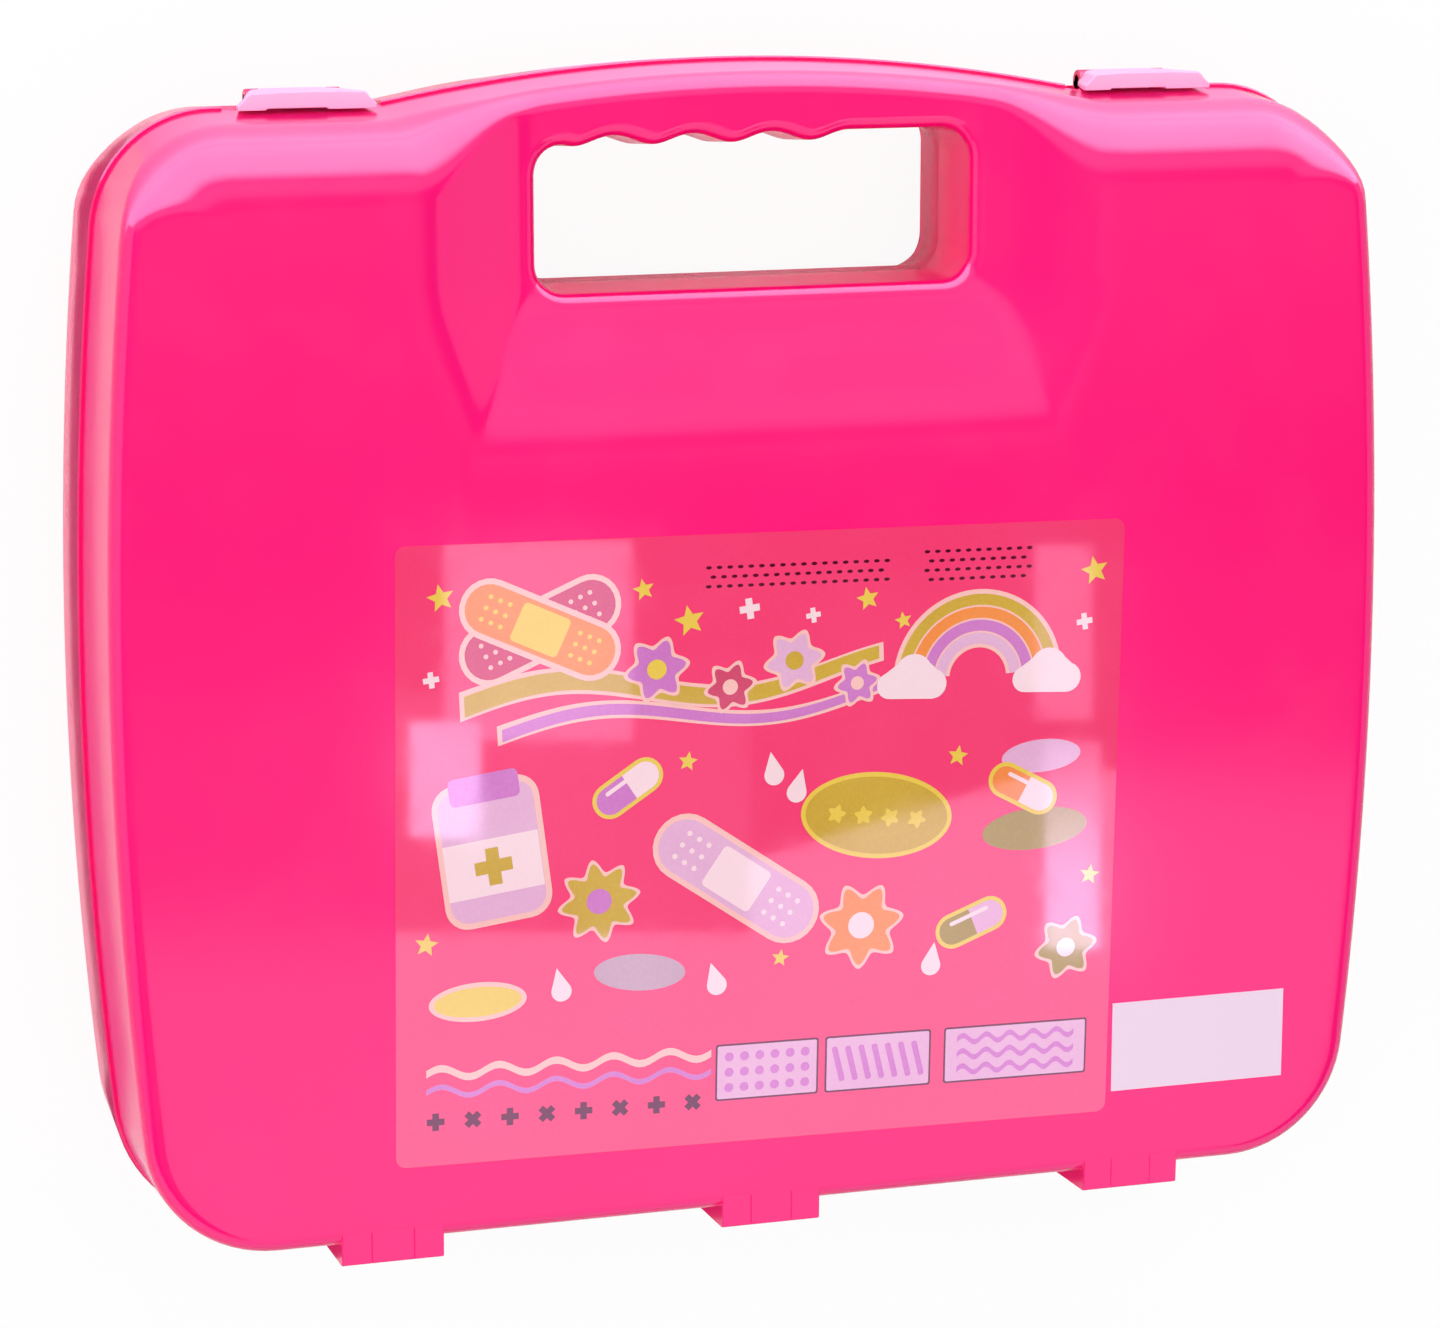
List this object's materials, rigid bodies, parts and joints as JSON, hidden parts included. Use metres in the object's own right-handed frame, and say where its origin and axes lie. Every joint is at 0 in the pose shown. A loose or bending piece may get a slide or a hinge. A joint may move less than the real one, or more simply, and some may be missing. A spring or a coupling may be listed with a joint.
{
  "type": "toy doctor case",
  "caption": "Pink moulded toy doctor case with a carrying grip, hinged labelled lid and two latches, holding a tray of toy instruments.",
  "frame": {"origin": "on the flat outer face of the back half, under the middle of the case's box", "axes": "+X across the width, +Y towards the carrying grip, +Z out of the labelled lid; the case lies on its back"},
  "size_m": [0.2814, 0.2522, 0.0622],
  "materials": {
    "case_pink": "smooth injection-moulded plastic, satin gloss",
    "latch_pink": "pale translucent plastic",
    "pin_metal": "drawn steel wire",
    "label_print": "printed film, satin",
    "sticker_film": "plain pale film, satin",
    "tray_pink": "thin vacuum-formed sheet",
    "soft_pink": "moulded plastic",
    "tube_pink": "soft vinyl tube",
    "lilac_plastic": "moulded plastic",
    "mustard_plastic": "moulded plastic",
    "orange_plastic": "moulded plastic",
    "white_plastic": "moulded plastic",
    "badge_board": "coated card",
    "silver_plastic": "metallised plastic",
    "dark_screen": "dark printed window",
    "lens_clear": "clear tinted plastic",
    "mirror_face": "metallised foil disc"
  },
  "bodies": {
    "base": {"base_shell": "case_pink", "latch_pins": "pin_metal", "tool_tray": "tray_pink", "syringe_barrel": "soft_pink", "syringe_nozzle": "lilac_plastic", "scope_handle": "soft_pink", "scope_head": "mustard_plastic", "scope_lens": "lens_clear", "hammer_handle": "orange_plastic", "hammer_head": "orange_plastic", "hammer_band": "white_plastic", "hammer_bumpers": "mustard_plastic", "thermometer_body": "soft_pink", "thermometer_tip": "silver_plastic", "thermometer_screen": "dark_screen", "mirror_handle": "mustard_plastic", "mirror_neck": "white_plastic", "mirror_frame": "white_plastic", "mirror_glass": "mirror_face", "pulse_body": "soft_pink", "pulse_cuff": "lilac_plastic", "pulse_screen": "dark_screen", "badge_card": "badge_board", "badge_clip": "lilac_plastic", "chest_piece": "lilac_plastic", "chest_diaphragm": "white_plastic", "stethoscope_tube": "tube_pink", "stethoscope_yoke": "lilac_plastic", "ear_arms": "tube_pink", "ear_tips": "lilac_plastic"},
    "lid": {"lid_shell": "case_pink", "hinge_pins": "pin_metal", "label_film": "label_print", "info_sticker": "sticker_film"},
    "left_latch": {"latch_left": "latch_pink"},
    "right_latch": {"latch_right": "latch_pink"},
    "plunger": {"syringe_plunger": "mustard_plastic"},
    "scope_switch": {"scope_button": "lilac_plastic"},
    "thermometer_switch": {"thermometer_button": "lilac_plastic"},
    "pulse_switch": {"pulse_button": "lilac_plastic"},
    "chest_switch": {"chest_button": "case_pink"}
  },
  "joints": [
    {"name": "lid_hinge", "type": "hinge", "parent": "base", "child": "lid", "pos_m": [0, -0.12295, 0.032], "axis": [1, 0, 0], "range_deg": [0, 180]},
    {"name": "left_latch_hinge", "type": "hinge", "parent": "base", "child": "left_latch", "pos_m": [-0.0917, 0.11855, 0.022], "axis": [-1, 0, 0], "range_deg": [0, 100]},
    {"name": "right_latch_hinge", "type": "hinge", "parent": "base", "child": "right_latch", "pos_m": [0.0917, 0.11855, 0.022], "axis": [-1, 0, 0], "range_deg": [0, 100]},
    {"name": "plunger_slide", "type": "slide", "parent": "base", "child": "plunger", "axis": [0, 1, 0], "range_m": [0, 0.024]},
    {"name": "scope_press", "type": "slide", "parent": "base", "child": "scope_switch", "axis": [0, 0, -1], "range_m": [0, 0.001], "stiffness_N_per_m": 300, "springref_m": -0.001},
    {"name": "thermometer_press", "type": "slide", "parent": "base", "child": "thermometer_switch", "axis": [0, 0, -1], "range_m": [0, 0.001], "stiffness_N_per_m": 300, "springref_m": -0.001},
    {"name": "pulse_press", "type": "slide", "parent": "base", "child": "pulse_switch", "axis": [0, 0, -1], "range_m": [0, 0.001], "stiffness_N_per_m": 300, "springref_m": -0.001},
    {"name": "chest_press", "type": "slide", "parent": "base", "child": "chest_switch", "axis": [0, 0, -1], "range_m": [0, 0.001], "stiffness_N_per_m": 300, "springref_m": -0.001}
  ]
}
